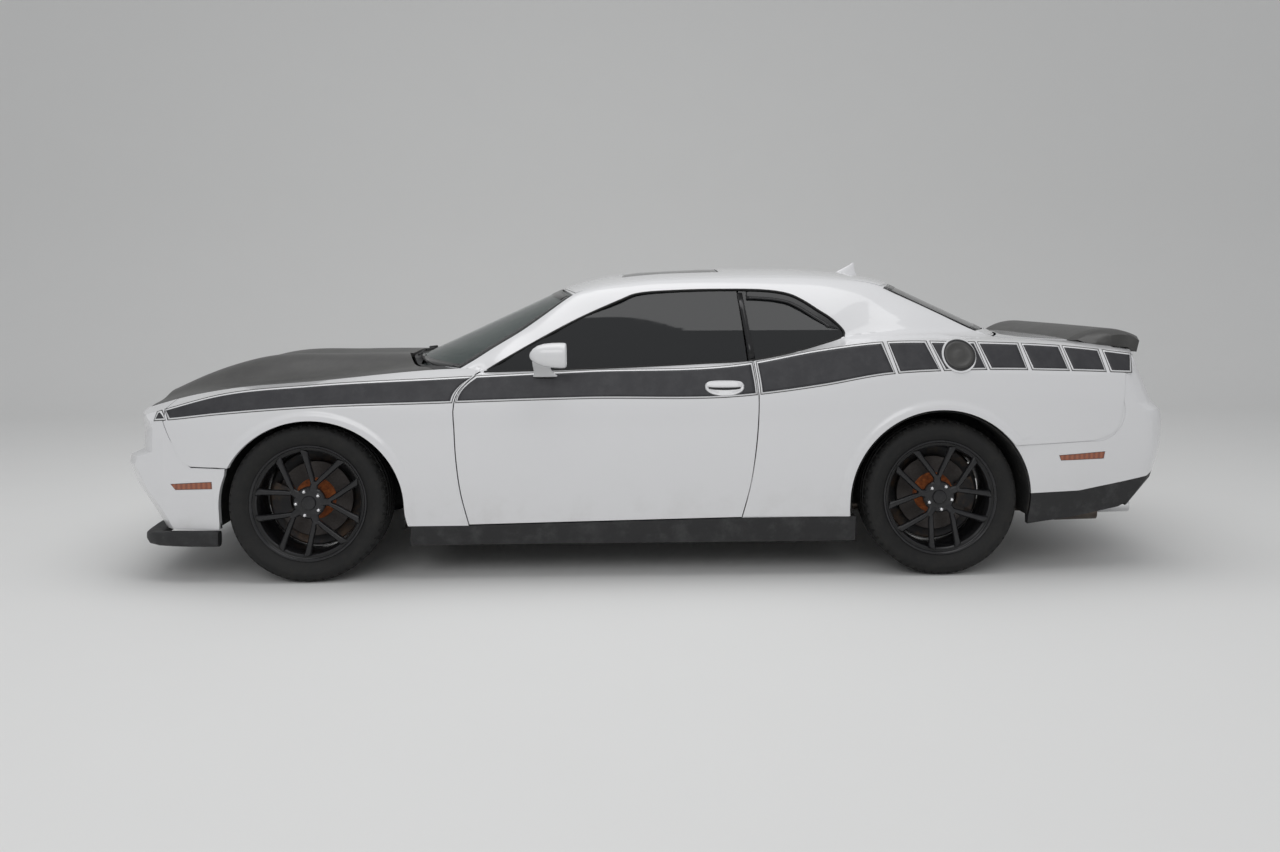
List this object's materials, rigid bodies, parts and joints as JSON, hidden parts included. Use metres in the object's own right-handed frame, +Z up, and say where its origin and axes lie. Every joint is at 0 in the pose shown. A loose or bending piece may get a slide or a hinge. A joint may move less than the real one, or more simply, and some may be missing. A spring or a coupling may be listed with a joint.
{
  "type": "two-door muscle coupe car",
  "caption": "Two-door muscle coupe with opening doors, hood, boot lid and fuel door, steered front wheels, a hollow cabin with seats, and a low black chin and tail spoiler.",
  "frame": {"origin": "on the ground at the centre of the car's bounding box", "axes": "+X forward to the nose, +Y to the car's left side, +Z up"},
  "size_m": [5.0218, 2.184, 1.494],
  "materials": {
    "white_paint": "gloss",
    "satin_black": "satin",
    "black_plastic": "satin",
    "glass": "tinted",
    "lamp_glass": "clear",
    "red_lens": "gloss",
    "amber_lens": "gloss",
    "trim": "matte",
    "seat": "satin",
    "underbody": "matte",
    "chassis_steel": "matte",
    "exhaust_steel": "satin",
    "engine_iron": "matte",
    "tyre": "matte",
    "rim_black": "gloss",
    "disc_iron": "machined"
  },
  "bodies": {
    "root": {"body_side_left": "white_paint", "body_side_right": "white_paint", "cowl": "black_plastic", "dashboard": "trim", "engine_block": "engine_iron", "exhaust": "exhaust_steel", "front_bumper": "white_paint", "front_fenders": "white_paint", "front_seats": "seat", "front_splitter": "black_plastic", "front_structure": "underbody", "front_subframe": "chassis_steel", "grille": "black_plastic", "headlamps": "lamp_glass", "quarter_windows": "glass", "rear_bumper": "white_paint", "rear_deck_panel": "white_paint", "rear_seat": "seat", "rear_suspension": "chassis_steel", "rear_valance": "black_plastic", "rear_window": "glass", "roof_panel": "white_paint", "side_markers": "amber_lens", "side_skirts": "black_plastic", "sunroof_glass": "glass", "tail_lamps": "red_lens", "underbody": "underbody", "windshield": "glass"},
    "door_left": {"door_left": "white_paint", "door_glass_left": "glass", "mirror_left": "white_paint"},
    "door_right": {"door_right": "white_paint", "door_glass_right": "glass", "mirror_right": "white_paint"},
    "hood": {"hood": "satin_black"},
    "trunk_lid": {"trunk_lid": "white_paint", "spoiler": "satin_black"},
    "fuel_door": {"fuel_door": "satin_black"},
    "steering_wheel": {"steering_wheel": "trim"},
    "knuckle_left": {"knuckle_left": "chassis_steel"},
    "knuckle_right": {"knuckle_right": "chassis_steel"},
    "wheel_front_left": {"tyre_front_left": "tyre", "rim_front_left": "rim_black", "brake_disc_front_left": "disc_iron"},
    "wheel_front_right": {"tyre_front_right": "tyre", "rim_front_right": "rim_black", "brake_disc_front_right": "disc_iron"},
    "wheel_rear_left": {"tyre_rear_left": "tyre", "rim_rear_left": "rim_black", "brake_disc_rear_left": "disc_iron"},
    "wheel_rear_right": {"tyre_rear_right": "tyre", "rim_rear_right": "rim_black", "brake_disc_rear_right": "disc_iron"}
  },
  "joints": [
    {"name": "steer_left", "type": "hinge", "parent": "root", "child": "knuckle_left", "pos_m": [1.581, 0.7, 0.36425], "axis": [0, 0, 1], "range_deg": [-33, 33]},
    {"name": "steer_right", "type": "hinge", "parent": "root", "child": "knuckle_right", "pos_m": [1.581, -0.7, 0.36425], "axis": [0, 0, 1], "range_deg": [-33, 33]},
    {"name": "steering_wheel_turn", "type": "hinge", "parent": "root", "child": "steering_wheel", "pos_m": [0.43, 0.37, 0.88], "axis": [-0.9063, 0, 0.4226], "range_deg": [-480, 480]},
    {"name": "wheel_front_left_spin", "type": "hinge", "parent": "knuckle_left", "child": "wheel_front_left", "pos_m": [1.581, 0.8055, 0.36425], "axis": [0, 1, 0], "continuous": true},
    {"name": "wheel_front_right_spin", "type": "hinge", "parent": "knuckle_right", "child": "wheel_front_right", "pos_m": [1.581, -0.8055, 0.36425], "axis": [0, 1, 0], "continuous": true},
    {"name": "wheel_rear_left_spin", "type": "hinge", "parent": "root", "child": "wheel_rear_left", "pos_m": [-1.365, 0.8105, 0.36425], "axis": [0, 1, 0], "continuous": true},
    {"name": "wheel_rear_right_spin", "type": "hinge", "parent": "root", "child": "wheel_rear_right", "pos_m": [-1.365, -0.8105, 0.36425], "axis": [0, 1, 0], "continuous": true},
    {"name": "door_left_hinge", "type": "hinge", "parent": "root", "child": "door_left", "pos_m": [0.852, 0.928, 0.6], "axis": [0, 0, -1], "range_deg": [0, 65]},
    {"name": "door_right_hinge", "type": "hinge", "parent": "root", "child": "door_right", "pos_m": [0.852, -0.928, 0.6], "axis": [0, 0, 1], "range_deg": [0, 65]},
    {"name": "hood_hinge", "type": "hinge", "parent": "root", "child": "hood", "pos_m": [1.034, 0, 0.974], "axis": [0, -1, 0], "range_deg": [0, 52]},
    {"name": "trunk_lid_hinge", "type": "hinge", "parent": "root", "child": "trunk_lid", "pos_m": [-1.7, 0, 1.098], "axis": [0, 1, 0], "range_deg": [0, 72]},
    {"name": "fuel_door_hinge", "type": "hinge", "parent": "root", "child": "fuel_door", "pos_m": [-1.371, 0.9319, 1.0367], "axis": [0, 0.4226, -0.9063], "range_deg": [0, 85]}
  ],
  "couplings": [
    {"joint": "steer_right", "follows": "steer_left", "ratio": 1},
    {"joint": "steering_wheel_turn", "follows": "steer_left", "ratio": 14.4}
  ]
}
